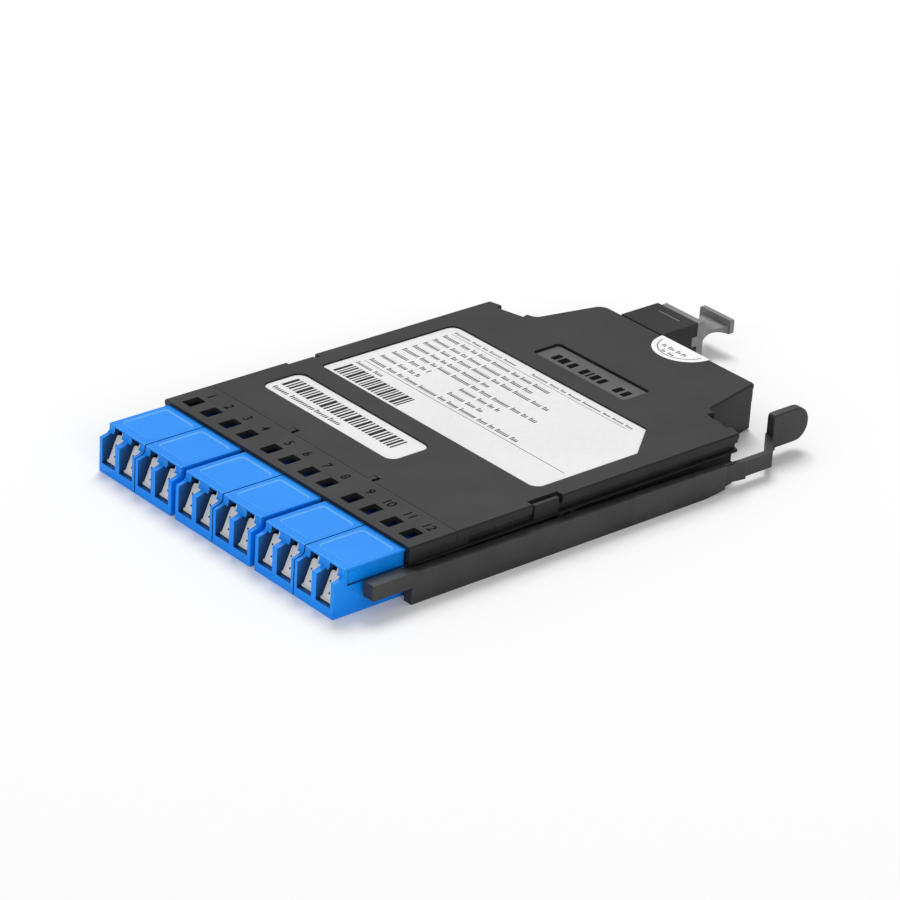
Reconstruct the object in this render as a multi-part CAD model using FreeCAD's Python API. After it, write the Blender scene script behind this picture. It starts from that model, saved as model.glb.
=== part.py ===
import FreeCAD, Part
import math
import os
from FreeCAD import Vector

# Fibre cassette: a flat housing with twelve duplex-style optical ports in front and one
# multi-fibre port behind.
# X runs across the ports (port 1 is at -X), Y runs from the ports to the rear, Z is up.
# The origin is on the underside, at mid width, below the front edge of the ports.
# Every length is in millimetres and every angle in degrees.

# ---- Ports: the standard pitch sets the width of the whole cassette --------------------
quad_count = 3
duplex_count = 2
port_pitch = 6.25
port_wall = 1.55
port_width = port_pitch - port_wall
duplex_margin = 0.5
duplex_pitch = 2 * port_pitch + duplex_margin
quad_width = duplex_count * duplex_pitch
quad_gap = 1.65
quad_pitch = quad_width + quad_gap

# ---- Housing -------------------------------------------------------------------------
body_side_margin = 0.725
body_width = quad_count * quad_pitch + 2 * body_side_margin
body_half = body_width / 2
body_height = 11.7
body_front_y = 18.5
bezel_length = 12.7
seam_y = body_front_y + bezel_length
cover_side_length = 81.4
shoulder_y = seam_y + cover_side_length
shoulder_rise = 3.0
waist_y = shoulder_y + shoulder_rise
waist_inset = 12.9
waist_half_width = body_half - waist_inset
tail_taper = 3.8
tail_half_width = waist_half_width - tail_taper
tail_length = 17.7
tail_y = waist_y + tail_length
left_tail_radius = 3.0
right_tail_radius = 0.8
waist_radius = 1.6
shoulder_radius = 0.8
floor_thickness = 1.2
wall_thickness = 1.4
plate_thickness = 1.2
plate_bottom_z = body_height - plate_thickness
skirt_thickness = 1.1
skirt_height = 2.2
skirt_bottom_z = body_height - skirt_height
skirt_step = 0.2
lower_step = 0.4
edge_chamfer = 0.35
base_chamfer = 0.4
smallest_corner = 0.2
lip_clearance = 0.1
lip_inset = skirt_thickness + lip_clearance
side_recess_depth = 2.0
side_groove_depth = 1.2
side_groove_height = 1.75
front_room_clearance = 0.2
front_wall_thickness = 0.9
ridge_height = 0.4
ridge_top_z = skirt_bottom_z - side_groove_height
ridge_bottom_z = ridge_top_z - ridge_height
seam_gap = 0.12

# ---- Snap windows and tabs ------------------------------------------------------------
side_window_y = seam_y + 25.05
side_window_length = 8.5
side_window_depth = 2.1
rear_window_inset = 7.1
rear_window_x = body_half - rear_window_inset
rear_window_length = 7.6
snap_gap = 0.8
snap_tab_thickness = 1.0
snap_tab_drop = 0.5
snap_tab_hook = 0.35
rear_tab_drop = 1.2

# ---- Port blocks ----------------------------------------------------------------------
port_floor_z = 2.2
adapter_top_drop = 0.9
adapter_top_z = body_height - adapter_top_drop
latch_slot_roof = 0.4
latch_slot_top_z = adapter_top_z - latch_slot_roof
latch_slot_height = 1.5
port_ceiling_z = latch_slot_top_z - latch_slot_height
port_height = port_ceiling_z - port_floor_z
port_rear_length = 5.5
port_depth = body_front_y - port_rear_length
latch_slot_width = 2.8
latch_slot_depth = 9.5
shoulder_front_drop = 2.6
shoulder_front_z = adapter_top_z - shoulder_front_drop
front_setback = 2.6
setback_radius = 1.3
setback_rise = 0.585
adapter_top_radius = 0.3
adapter_lip_radius = 0.15
duplex_groove = 0.3
panel_depth = 0.2
panel_bevel = 0.35
panel_side_inset = 1.2
panel_front_inset = 2.2
panel_rear_inset = 1.6
panel_radius = 1.2
side_panel_depth = 0.35
side_panel_height = 4.0
side_panel_bottom_z = adapter_top_z - side_panel_height
side_panel_setback = 0.8
side_panel_top_inset = 0.5
flange_neck_length = 1.0
flange_neck_inset = 0.8
flange_neck_drop = 0.2
flange_length = 1.5
flange_inset = 0.1
flange_height_inset = 0.1
partition_thickness = 1.4
sleeve_axis_rise = 2.55
sleeve_axis_z = port_floor_z + sleeve_axis_rise
sleeve_boss_radius = 1.6
sleeve_boss_length = 9.2
sleeve_boss_shift = 1.2
sleeve_outer_radius = 0.8
sleeve_inner_radius = 0.63
sleeve_clearance = 0.05
sleeve_end_gap = 0.4
sleeve_slit = 0.2

# ---- Port shutters --------------------------------------------------------------------
shutter_lean = 23.0
shutter_thickness = 0.45
shutter_side_gap = 0.15
shutter_width = port_width - 2 * shutter_side_gap
shutter_height_loss = 0.45
shutter_body_length = port_height - shutter_height_loss
shutter_tongue_width = 1.7
shutter_tongue_reach = 0.25
shutter_tongue_length = latch_slot_height + shutter_tongue_reach
shutter_corner = 0.7
hinge_y = 1.7
hinge_rise = 0.15
hinge_z = port_floor_z + hinge_rise
hinge_pin_radius = 0.4
hinge_pin_length = 0.45
hinge_clearance = 0.05
shutter_bed_depth = 0.6
shutter_bed_front_y = 1.0
shutter_bed_margin = 0.4
shutter_tip_radius = 0.3
dimple_radius = 0.28
dimple_depth = 0.15
dimple_heights = (1.7, 4.9)

# ---- Plugs inside the housing ---------------------------------------------------------
plug_side_gap = 0.15
plug_width = port_width - 2 * plug_side_gap
plug_lift = 0.3
plug_bottom_z = port_floor_z + plug_lift
plug_top_gap = 1.0
plug_height = port_height - plug_lift - plug_top_gap
plug_gap = 0.25
plug_front_y = port_depth + partition_thickness + plug_gap
plug_length = 17.5
plug_rear_room = 1.85
front_room_rear_y = plug_front_y + plug_length + plug_rear_room
plug_top_radius = 1.5
plug_bottom_radius = 0.3
ferrule_radius = 0.6
ferrule_length = 5.0
boot_length = 7.0
boot_front_radius = 1.5
boot_rear_radius = 0.8

# ---- Bezel windows --------------------------------------------------------------------
window_width = 3.1
window_length = 4.4
window_setback = 4.3
window_y = body_front_y + window_setback
window_radius = 0.25
bezel_post_width = 1.3
bezel_post_gap = 0.4
bezel_post_rise = 0.05
bezel_post_bottom_z = ridge_bottom_z + bezel_post_rise
tongue_width = 1.2
tongue_length = 1.9
tongue_slot = 0.9
rib_clearance = 0.15
stop_height = 1.3

# ---- Labels ---------------------------------------------------------------------------
label_recess = 0.5
label_thickness = 0.12
label_margin = 0.15
label_radius = 2.4
label_cut_radius = 0.6
label_side_inset = 5.8
main_label_half_width = body_half - label_side_inset
main_label_setback = 26.6
main_label_front_y = seam_y + main_label_setback
main_label_length = 39.1
main_label_rear_y = main_label_front_y + main_label_length
main_label_cut_width = 7.8
main_label_cut_length = 9.9
main_label_corner_x = main_label_half_width - main_label_cut_width
main_label_corner_y = main_label_rear_y - main_label_cut_length
small_label_width = 45.3
small_label_shift = 0.2
small_label_left_x = small_label_shift - main_label_half_width
small_label_right_x = small_label_left_x + small_label_width
small_label_setback = 9.3
small_label_front_y = seam_y + small_label_setback
small_label_length = 11.3
small_label_rear_y = small_label_front_y + small_label_length
seal_radius = 7.9
seal_sink = 0.14
plate_half_width = 15.2
plate_setback = 5.6
plate_front_y = main_label_rear_y + plate_setback
plate_length = 7.9
plate_rear_y = plate_front_y + plate_length
plate_recess = 0.75
plate_inlay_thickness = 0.15
plate_corner = 1.0

# ---- Rear multi-fibre adapter and its dust cap ----------------------------------------
snout_inset = 13.2
snout_x = snout_inset - tail_half_width
snout_width = 13.8
snout_length = 11.7
snout_rear_y = tail_y + snout_length
snout_bottom_z = 1.2
rear_adapter_length = 26.0
rear_adapter_front_y = snout_rear_y - rear_adapter_length
seal_gap = 0.2
seal_x = snout_x + snout_width / 2 + seal_gap + seal_radius
rear_flange_width = 17.6
rear_flange_thickness = 2.2
rear_bore_width = 12.5
rear_bore_bottom_z = 3.0
rear_bore_roof = 1.5
rear_bore_top_z = body_height - rear_bore_roof
snout_clearance = 0.1
snout_notch_length = 1.7
snout_notch_drop = 3.3
snout_notch_height = 2.7
snout_notch_top_z = body_height - snout_notch_drop
snout_notch_bottom_z = snout_notch_top_z - snout_notch_height
key_groove_width = 7.4
key_groove_length = 0.9
key_groove_depth = 0.15
key_groove_setback = 2.8
key_groove_y = snout_rear_y - key_groove_setback
cap_flange_length = 2.3
cap_flange_bottom_z = 2.7
cap_flange_drop = 0.4
cap_flange_top_z = body_height - cap_flange_drop
cap_flange_width = 13.2
cap_plug_length = 8.0
cap_plug_wall = 1.0
cap_plug_clearance = 0.35
cap_length = 13.8
cap_rear_y = snout_rear_y + cap_length
cap_tee_thickness = 1.3
cap_tee_width = 10.4
cap_tee_bottom_z = 4.8
cap_tee_drop = 3.3
cap_tee_top_z = body_height - cap_tee_drop
cap_neck_drop = 4.9
cap_neck_top_z = body_height - cap_neck_drop
cap_neck_height = 1.5
cap_neck_bottom_z = cap_neck_top_z - cap_neck_height
cap_dip_run = 2.6
cap_dip_rise = 1.1
cap_tee_overhang = 0.8
cap_waist_width = 6.2
cap_ear_clearance = 0.12
cap_fillet = 0.5
rear_plug_gap = 0.5
rear_plug_side_gap = 1.25
rear_plug_width = rear_bore_width - 2 * rear_plug_side_gap
rear_plug_height = rear_bore_top_z - rear_bore_bottom_z - 2 * rear_plug_gap
rear_plug_depth = 15.5
rear_plug_rear_y = snout_rear_y - rear_plug_depth
rear_plug_length = 21.5
rear_plug_front_y = rear_plug_rear_y - rear_plug_length
rear_boot_length = 9.0
rear_boot_tip_radius = 1.6
rear_boot_root_radius = 2.8
rear_plug_radius = 0.8

# ---- Latch lever and the fixed rail on the other side ---------------------------------
lever_overhang = 2.65
lever_outer_x = body_half + lever_overhang
lever_thickness = 2.4
lever_inner_x = lever_outer_x - lever_thickness
lever_rear_thickness = 1.65
nose_thickness = 3.2
nose_length = 10.5
nose_bottom_z = 3.9
nose_top_rise = 0.1
nose_top_z = ridge_bottom_z + nose_top_rise
nose_heel = 0.2
bar_front_setback = 1.2
bar_front_y = body_front_y - bar_front_setback
nose_front_y = bar_front_y - nose_length
bar_top_drop = 0.2
bar_top_front_z = ridge_bottom_z - bar_top_drop
bar_top_fall = 0.75
bar_top_rear_z = bar_top_front_z - bar_top_fall
bar_rear_setback = 3.2
bar_rear_y = shoulder_y - bar_rear_setback
bar_rise_length = 8.5
bar_rise_y = bar_rear_y - bar_rise_length
bar_rear_bottom_z = 1.1
bar_rise_radius = 20.0
bar_end_radius = 0.4
catch_length = 6.2
catch_overhang = 0.2
catch_rear_y = shoulder_y + catch_overhang
catch_front_y = catch_rear_y - catch_length
catch_bottom_z = 1.6
catch_top_drop = 0.5
catch_top_z = bar_top_rear_z - catch_top_drop
catch_dip = 0.9
catch_tip_radius = 0.15
neck_thickness = 1.5
neck_inset = 0.45
neck_outer_x = lever_outer_x - neck_inset
neck_length = 8.35
neck_rear_y = catch_rear_y + neck_length
neck_bottom_z = 1.9
neck_top_drop = 0.75
neck_top_z = bar_top_rear_z - neck_top_drop
neck_bend_offset = 0.85
root_bend_offset = 0.15
neck_outer_radius = 0.5
neck_inner_radius = 0.4
paddle_inset = 6.05
paddle_outer_x = lever_outer_x - paddle_inset
paddle_thickness = 2.25
paddle_offset = 5.45
paddle_front_y = neck_rear_y + paddle_offset
paddle_length = 11.1
paddle_rear_y = paddle_front_y + paddle_length
paddle_bottom_z = 2.4
paddle_top_drop = 1.05
paddle_top_z = body_height - paddle_top_drop
paddle_round_share = 0.48
paddle_rear_radius = paddle_round_share * (paddle_top_z - paddle_bottom_z)
paddle_front_radius = 1.0
paddle_foot_radius = 0.6
paddle_edge = 0.35
lever_edge = 0.3
pivot_setback = 30.8
pivot_y = seam_y + pivot_setback
pivot_inset = 3.65
pivot_x = lever_outer_x - pivot_inset
knuckle_radius = 1.2
knuckle_bottom_z = 0.8
knuckle_clearance = 0.05
knuckle_neck_width = 1.1
socket_wall = 1.0
socket_mouth = 1.9
socket_reach = 0.9
rail_rib_count = 4
rail_rib_thickness = 1.4

# ---- Fibre management inside ----------------------------------------------------------
spool_radius = 13.0
spool_wall = 1.2
spool_head_gap = 2.3
spool_height = plate_bottom_z - floor_thickness - spool_head_gap
spool_x = 19.0
spool_shift = 0.1
spool_y = seam_y + cover_side_length / 2 + spool_shift
spool_gap_angle = 40.0
fanout_width = 14.0
fanout_length = 8.0
fanout_head_gap = 2.1
fanout_height = plate_bottom_z - floor_thickness - fanout_head_gap
fanout_setback = 18.8
fanout_rear_y = seam_y + fanout_setback
fanout_radius = 1.0
bundle_radius = 1.1
bundle_gap = 0.2
bundle_bend_share = 0.78

# ---- Values that follow ---------------------------------------------------------------
quad_centres = [(index - (quad_count - 1) / 2) * quad_pitch for index in range(quad_count)]
port_offsets = [
    (half - (duplex_count - 1) / 2) * duplex_pitch + side * port_pitch / 2
    for half in range(duplex_count)
    for side in (-1, 1)
]
port_centres = [centre + offset for centre in quad_centres for offset in port_offsets]
gap_centres = [(left + right) / 2 for left, right in zip(quad_centres, quad_centres[1:])]
beyond = 1.0
tolerance = 1e-6


# ---- Building helpers -----------------------------------------------------------------
def box(x0, x1, y0, y1, z0, z1):
    return Part.makeBox(x1 - x0, y1 - y0, z1 - z0, Vector(x0, y0, z0))


def cylinder(radius, start, end):
    axis = Vector(*end) - Vector(*start)
    return Part.makeCylinder(radius, axis.Length, Vector(*start), axis)


def cone(radius_a, radius_b, start, end):
    axis = Vector(*end) - Vector(*start)
    return Part.makeCone(radius_a, radius_b, axis.Length, Vector(*start), axis)


def joined(shapes):
    whole = shapes[0]
    for shape in shapes[1:]:
        whole = whole.fuse(shape)
    return whole.removeSplitter()


def outline(corners, place):
    # Closed outline through (u, v, radius) corners; place turns (u, v) into a 3-D point.
    edges = []
    ends = []
    count = len(corners)
    for index, (u, v, radius) in enumerate(corners):
        corner = Vector(u, v, 0)
        before = Vector(*corners[index - 1][:2], 0) - corner
        after = Vector(*corners[(index + 1) % count][:2], 0) - corner
        if radius == 0:
            ends.append((corner, corner, corner))
            continue
        before.normalize()
        after.normalize()
        half_turn = before.getAngle(after) / 2
        reach = radius / math.tan(half_turn)
        bisector = before + after
        bisector.normalize()
        centre = corner + bisector * (radius / math.sin(half_turn))
        ends.append((corner + before * reach, centre - bisector * radius, corner + after * reach))
    for index, (start, middle, end) in enumerate(ends):
        previous = ends[index - 1][2]
        if previous.distanceToPoint(start) > tolerance:
            edges.append(Part.LineSegment(place(previous), place(start)).toShape())
        if start.distanceToPoint(end) > tolerance:
            edges.append(Part.Arc(place(start), place(middle), place(end)).toShape())
    return Part.Face(Part.Wire(edges))


def plan_prism(corners, z0, z1):
    face = outline(corners, lambda point: Vector(point.x, point.y, z0))
    return face.extrude(Vector(0, 0, z1 - z0))


def side_prism(corners, x0, x1):
    face = outline(corners, lambda point: Vector(x0, point.x, point.y))
    return face.extrude(Vector(x1 - x0, 0, 0))


def front_prism(corners, y0, y1):
    face = outline(corners, lambda point: Vector(point.x, y0, point.y))
    return face.extrude(Vector(0, y1 - y0, 0))


def rounded_rectangle(x0, x1, y0, y1, radius):
    return [(x0, y0, radius), (x1, y0, radius), (x1, y1, radius), (x0, y1, radius)]


def lofted(lower, z0, upper, z1):
    wires = []
    for corners, z in ((lower, z0), (upper, z1)):
        face = outline(corners, lambda point, level=z: Vector(point.x, point.y, level))
        wires.append(face.OuterWire)
    return Part.makeLoft(wires, True, True)


def mirrored(shape):
    return shape.mirror(Vector(0, 0, 0), Vector(1, 0, 0))


def turned(shape, angle, centre, axis):
    copy = shape.copy()
    copy.rotate(Vector(*centre), Vector(*axis), angle)
    return copy


# ---- Housing --------------------------------------------------------------------------
def housing_plan(front_y, side_inset, rear_inset, end_inset):
    # Plan outline of the housing, its long sides, its tapered rear and its end moved inwards.
    slope = shoulder_rise / waist_inset
    side_x = body_half - side_inset
    corner_y = shoulder_y + slope * side_inset - rear_inset
    waist_x = waist_half_width - rear_inset
    tail_x = tail_half_width - rear_inset
    end_y = tail_y - end_inset
    tight = max(right_tail_radius - rear_inset, smallest_corner)
    return [
        (-side_x, front_y, 0),
        (side_x, front_y, 0),
        (side_x, corner_y, shoulder_radius),
        (waist_x, waist_y - rear_inset, waist_radius),
        (tail_x, end_y, tight),
        (-tail_x, end_y, left_tail_radius - rear_inset),
        (-waist_x, waist_y - rear_inset, waist_radius),
        (-side_x, corner_y, shoulder_radius),
    ]


def side_profile(front_y, bottom_front_z, x0, x1):
    # Side view shared by the lever's bar and the fixed rail.
    corners = [
        (front_y, bottom_front_z, 0),
        (bar_rise_y, 0, bar_rise_radius),
        (bar_rear_y, bar_rear_bottom_z, bar_end_radius),
        (bar_rear_y, bar_top_rear_z, bar_end_radius),
        (front_y, bar_top_front_z, 0),
    ]
    return side_prism(corners, x0, x1)


def snap_windows():
    # Notches in the cover's edge: one in each long side and one in each rear shoulder.
    half = side_window_length / 2
    side = box(
        body_half - side_window_depth, body_half + beyond,
        side_window_y - half, side_window_y + half,
        0, body_height + beyond,
    )
    half = rear_window_length / 2
    rear = along_shoulder(box(-half, half, -side_window_depth, beyond, 0, body_height + beyond))
    return [side, mirrored(side), rear, mirrored(rear)]


def along_shoulder(shape):
    # Moves a shape drawn about the origin to the +X rear shoulder and turns it to its slant.
    slope = shoulder_rise / waist_inset
    edge_y = shoulder_y + slope * (body_half - rear_window_x)
    placed = shape.copy()
    placed.rotate(Vector(0, 0, 0), Vector(0, 0, 1), -math.degrees(math.atan(slope)))
    placed.translate(Vector(rear_window_x, edge_y, 0))
    return placed


def snap_tabs():
    # Springy tabs that rise from the base into the cover's notches, each with a small hook.
    half = side_window_length / 2 - snap_gap
    outer_x = body_half - snap_tab_hook
    top_z = body_height - snap_tab_drop
    root_x = body_half - side_window_depth + lip_clearance
    side = joined([
        box(outer_x - snap_tab_thickness, outer_x, side_window_y - half, side_window_y + half,
            ridge_bottom_z, top_z),
        box(root_x, outer_x, side_window_y - half, side_window_y + half,
            ridge_bottom_z, skirt_bottom_z),
    ])
    half = rear_window_length / 2 - snap_gap
    rear = along_shoulder(joined([
        box(-half, half, -skirt_step - snap_tab_thickness, -skirt_step,
            ridge_bottom_z, body_height - rear_tab_drop),
        box(-half, half, lip_clearance - side_window_depth, -skirt_step,
            ridge_bottom_z, skirt_bottom_z),
    ]))
    return [side, mirrored(side), rear, mirrored(rear)]


def lever_socket():
    # C-shaped seat that the lever's knuckle snaps into.
    outer = knuckle_radius + knuckle_clearance + socket_wall
    inner_x = body_half - side_recess_depth - wall_thickness
    return box(inner_x, pivot_x + socket_reach, pivot_y - outer, pivot_y + outer,
               0, ridge_bottom_z)


def lever_socket_space():
    bore = cylinder(
        knuckle_radius + knuckle_clearance,
        (pivot_x, pivot_y, knuckle_bottom_z - knuckle_clearance),
        (pivot_x, pivot_y, ridge_bottom_z),
    )
    mouth = box(pivot_x, pivot_x + beyond * 2, pivot_y - socket_mouth / 2,
                pivot_y + socket_mouth / 2, knuckle_bottom_z - knuckle_clearance, ridge_bottom_z)
    return [bore, mouth]


def fixed_rail():
    # Guide rail on the -X side, tied to the wall by a floor strip and ribs.
    wall_x = body_half - side_recess_depth - wall_thickness
    rail = side_profile(bar_front_y, 0, lever_inner_x, lever_outer_x)
    strip = box(wall_x, lever_outer_x - lever_thickness / 2, body_front_y, bar_rise_y - beyond,
                0, floor_thickness)
    parts = [rail, strip]
    spacing = (bar_rise_y - body_front_y - rail_rib_thickness) / (rail_rib_count - 1)
    for index in range(rail_rib_count):
        start = body_front_y + index * spacing
        parts.append(box(wall_x, lever_inner_x + lever_thickness / 2, start,
                         start + rail_rib_thickness, 0, bar_top_rear_z - beyond))
    return mirrored(joined(parts))


def fibre_spool():
    # Ring wall that the fibres are wound round, open in four places.
    ring = cylinder(spool_radius, (0, 0, 0), (0, 0, spool_height)).cut(
        cylinder(spool_radius - spool_wall, (0, 0, -beyond), (0, 0, spool_height + beyond)))
    gap = 2 * spool_radius * math.sin(math.radians(spool_gap_angle / 2))
    reach = spool_radius + beyond
    for across in (box(-reach, reach, -gap / 2, gap / 2, 0, spool_height + beyond),
                   box(-gap / 2, gap / 2, -reach, reach, 0, spool_height + beyond)):
        ring = ring.cut(across)
    return ring


def fibre_spools():
    placed = []
    for x in (-spool_x, spool_x):
        ring = fibre_spool()
        ring.translate(Vector(x, spool_y, floor_thickness))
        placed.append(ring)
    return placed


def adapter_posts():
    # Posts between and beside the quad adapters, which trap their flanges from the front.
    posts = []
    neck_half = quad_width / 2 - flange_neck_inset
    y1 = body_front_y + flange_neck_length - rib_clearance
    for x in gap_centres:
        half = quad_pitch / 2 - neck_half - rib_clearance
        posts.append(box(x - half, x + half, body_front_y, y1, 0, plate_bottom_z - lip_clearance))
    side = box(quad_centres[-1] + neck_half + rib_clearance, front_room_half() + lip_clearance,
               body_front_y, y1, 0, ridge_bottom_z)
    stop_y = body_front_y + flange_neck_length + flange_length + rib_clearance
    stop = box(-front_room_half() - lip_clearance, front_room_half() + lip_clearance,
               stop_y, stop_y + beyond, 0, floor_thickness + stop_height)
    return posts + [side, mirrored(side), stop]


def front_room_half():
    # Half the width of the room that the quad adapters' flanges need.
    return quad_centres[-1] + quad_width / 2 - flange_inset + front_room_clearance


def front_chest():
    # The walls step out beside the quad adapters.
    half = front_room_half() + front_wall_thickness
    return box(-half, half, body_front_y, front_room_rear_y + front_wall_thickness,
               0, skirt_bottom_z - lip_clearance)


def bezel_post_rooms():
    # Notches that the bezel's two front posts come down into.
    inner = body_half - bezel_post_width - lip_clearance
    notch = box(inner, body_half + beyond, body_front_y - beyond,
                body_front_y + bezel_post_width + lip_clearance, bezel_post_bottom_z, body_height)
    return [notch, mirrored(notch)]


def front_room():
    half = front_room_half()
    return box(-half, half, body_front_y - beyond, front_room_rear_y,
               floor_thickness, body_height)


def build_base():
    front_y = body_front_y + bezel_post_width + lip_clearance
    solid = joined([
        front_chest(),
        lower_body(),
        plan_prism(housing_plan(front_y, 0, skirt_step, 0), ridge_bottom_z, ridge_top_z),
        plan_prism(housing_plan(front_y, side_groove_depth, skirt_step, 0),
                   ridge_top_z, skirt_bottom_z),
        plan_prism(housing_plan(front_y, lip_inset, lip_inset, lip_inset),
                   skirt_bottom_z, plate_bottom_z),
    ])
    cavity_side = side_recess_depth + wall_thickness
    cavity_rear = lip_inset + wall_thickness
    cavity = plan_prism(
        housing_plan(body_front_y - beyond, cavity_side, cavity_rear, cavity_rear),
        floor_thickness, body_height)
    solid = joined([solid.cut(cavity), fixed_rail()])
    for space in [front_room()] + bezel_post_rooms():
        solid = solid.cut(space)
    solid = joined([solid, lever_socket()] + adapter_posts() + snap_tabs())
    solid = joined([solid] + fibre_spools() + rear_adapter_ribs())
    for space in lever_socket_space() + [snout_space()]:
        solid = solid.cut(space)
    return solid


def lower_body():
    # Lower half of the housing, with a small bevel round the underside behind its front.
    plan = housing_plan(body_front_y, side_recess_depth, lower_step, 0)
    body = plan_prism(plan, 0, ridge_bottom_z)
    rim = [edge for edge in body.Edges if edge.BoundBox.ZMax < tolerance
           and edge.BoundBox.YMax > body_front_y + tolerance]
    return body.makeChamfer(base_chamfer, rim)


def snout_space():
    half = snout_width / 2 + snout_clearance
    return box(snout_x - half, snout_x + half, tail_y - lip_inset - wall_thickness - beyond,
               tail_y + beyond, snout_bottom_z, body_height + beyond)


def rear_adapter_ribs():
    # Ribs in front of the two ears of the rear adapter's flange.
    outer = rear_flange_width / 2
    inner = snout_width / 2 + snout_clearance
    y1 = rear_flange_rear_y() - rear_flange_thickness - snout_clearance
    return [box(snout_x + low, snout_x + high, y1 - beyond, y1, 0, plate_bottom_z - beyond)
            for low, high in ((-outer, -inner), (inner, outer))]


def rear_flange_rear_y():
    return tail_y - lip_inset - wall_thickness - snout_clearance


def label_corners(margin):
    half = main_label_half_width + margin
    chamfer_run = (main_label_rear_y - main_label_corner_y) / (
        main_label_half_width - main_label_corner_x)
    shift = margin * (math.hypot(1, chamfer_run) - chamfer_run)
    return [
        (-half, main_label_front_y - margin, label_radius / 2),
        (half, main_label_front_y - margin, label_radius),
        (half, main_label_corner_y + shift, label_cut_radius),
        (main_label_corner_x + shift, main_label_rear_y + margin, label_cut_radius),
        (-half, main_label_rear_y + margin, label_radius),
    ]


def small_label_corners(margin):
    return rounded_rectangle(small_label_left_x - margin, small_label_right_x + margin,
                             small_label_front_y - margin, small_label_rear_y + margin,
                             label_radius)


def plate_corners(margin):
    return rounded_rectangle(-plate_half_width - margin, plate_half_width + margin,
                             plate_front_y - margin, plate_rear_y + margin, plate_corner)


def seal_disc(radius, z0, z1):
    disc = cylinder(radius, (seal_x, tail_y, z0), (seal_x, tail_y, z1))
    return disc.cut(box(seal_x - radius - beyond, seal_x + radius + beyond, tail_y,
                        tail_y + radius + beyond, z0 - beyond, z1 + beyond))


def top_edge_chamfer(shape, top_z):
    # Small bevel along the outer edges of the top face.
    edges = []
    for edge in shape.Edges:
        bounds = edge.BoundBox
        flat = bounds.ZMin > top_z - tolerance
        side = abs(abs(bounds.XMin) - body_half) < tolerance and bounds.XLength < tolerance
        if flat and side:
            edges.append(edge)
    return shape.makeChamfer(edge_chamfer, edges)


def build_cover():
    front_y = seam_y + seam_gap / 2
    solid = joined([
        plan_prism(housing_plan(front_y, 0, 0, 0), plate_bottom_z, body_height),
        plan_prism(housing_plan(front_y, skirt_step, skirt_step, 0), skirt_bottom_z, body_height),
    ])
    hollow_plan = housing_plan(front_y - beyond, skirt_thickness, skirt_thickness, skirt_thickness)
    hollow = plan_prism(hollow_plan, skirt_bottom_z - beyond, plate_bottom_z)
    solid = top_edge_chamfer(solid.cut(hollow), body_height)
    floor_z = body_height - label_recess
    snout_half = snout_width / 2 + snout_clearance
    cuts = snap_windows() + [
        box(snout_x - snout_half, snout_x + snout_half, tail_y - skirt_thickness - beyond,
            tail_y + beyond, skirt_bottom_z - beyond, plate_bottom_z),
        plan_prism(label_corners(label_margin), floor_z, body_height + beyond),
        plan_prism(small_label_corners(label_margin), floor_z, body_height + beyond),
        plan_prism(plate_corners(label_margin), body_height - plate_recess,
                   body_height + beyond),
        seal_disc(seal_radius + label_margin, body_height - seal_sink, body_height + beyond),
    ]
    for x in gap_centres:
        cuts.append(box(x - tongue_width - seam_gap, x + tongue_slot, front_y - beyond,
                        front_y + tongue_length + seam_gap, plate_bottom_z - beyond,
                        body_height + beyond))
    for shape in cuts:
        solid = solid.cut(shape)
    return solid


def build_bezel():
    rear_y = seam_y - seam_gap / 2
    plate = box(-body_half, body_half, body_front_y, rear_y, plate_bottom_z, body_height)
    step_x = body_half - skirt_step
    side = box(body_half - skirt_thickness, step_x, body_front_y, rear_y, skirt_bottom_z,
               body_height)
    post = box(body_half - bezel_post_width, step_x, body_front_y,
               body_front_y + bezel_post_width, bezel_post_bottom_z + bezel_post_gap,
               body_height)
    solid = joined([plate, side, mirrored(side), post, mirrored(post)])
    tongues = [box(x - tongue_width, x, rear_y - beyond, rear_y + tongue_length, plate_bottom_z,
                   body_height) for x in gap_centres]
    solid = top_edge_chamfer(solid, body_height)
    solid = joined([solid] + tongues)
    half = window_width / 2
    for x in port_centres:
        corners = rounded_rectangle(x - half, x + half, window_y - window_length / 2,
                                    window_y + window_length / 2, window_radius)
        solid = solid.cut(plan_prism(corners, plate_bottom_z - beyond, body_height + beyond))
    return solid


# ---- Ports ----------------------------------------------------------------------------
def adapter_side_view():
    # Front profile seen from the side: a tall lower lip, then a hollow curve up to the top.
    return [
        (0, 0, 0),
        (body_front_y, 0, 0),
        (body_front_y, adapter_top_z, 0),
        (front_setback, adapter_top_z, adapter_top_radius),
        (front_setback, shoulder_front_z + setback_rise, setback_radius),
        (0, shoulder_front_z, adapter_lip_radius),
    ]


def port_space(x):
    half = port_width / 2
    cavity = box(x - half, x + half, -beyond, port_depth, port_floor_z, port_ceiling_z)
    slot = box(x - latch_slot_width / 2, x + latch_slot_width / 2, -beyond, latch_slot_depth,
               port_ceiling_z - beyond, latch_slot_top_z)
    flange_end = body_front_y + flange_neck_length + flange_length
    rear = box(x - half, x + half, port_depth + partition_thickness, flange_end + beyond,
               port_floor_z, port_ceiling_z)
    bed_rear_y = hinge_y + shutter_body_length + shutter_tongue_length + shutter_bed_margin
    bed = box(x - half, x + half, shutter_bed_front_y, bed_rear_y,
              port_floor_z - shutter_bed_depth, port_floor_z + beyond)
    hole_half = half + hinge_pin_length + hinge_clearance
    hole = cylinder(hinge_pin_radius + hinge_clearance, (x - hole_half, hinge_y, hinge_z),
                    (x + hole_half, hinge_y, hinge_z))
    return [cavity, slot, rear, bed, hole]


def sleeve_boss(x):
    start_y = boss_front_y()
    return cylinder(sleeve_boss_radius, (x, start_y, sleeve_axis_z),
                    (x, start_y + sleeve_boss_length, sleeve_axis_z))


def boss_front_y():
    return port_depth + partition_thickness / 2 - sleeve_boss_length / 2 + sleeve_boss_shift


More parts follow.
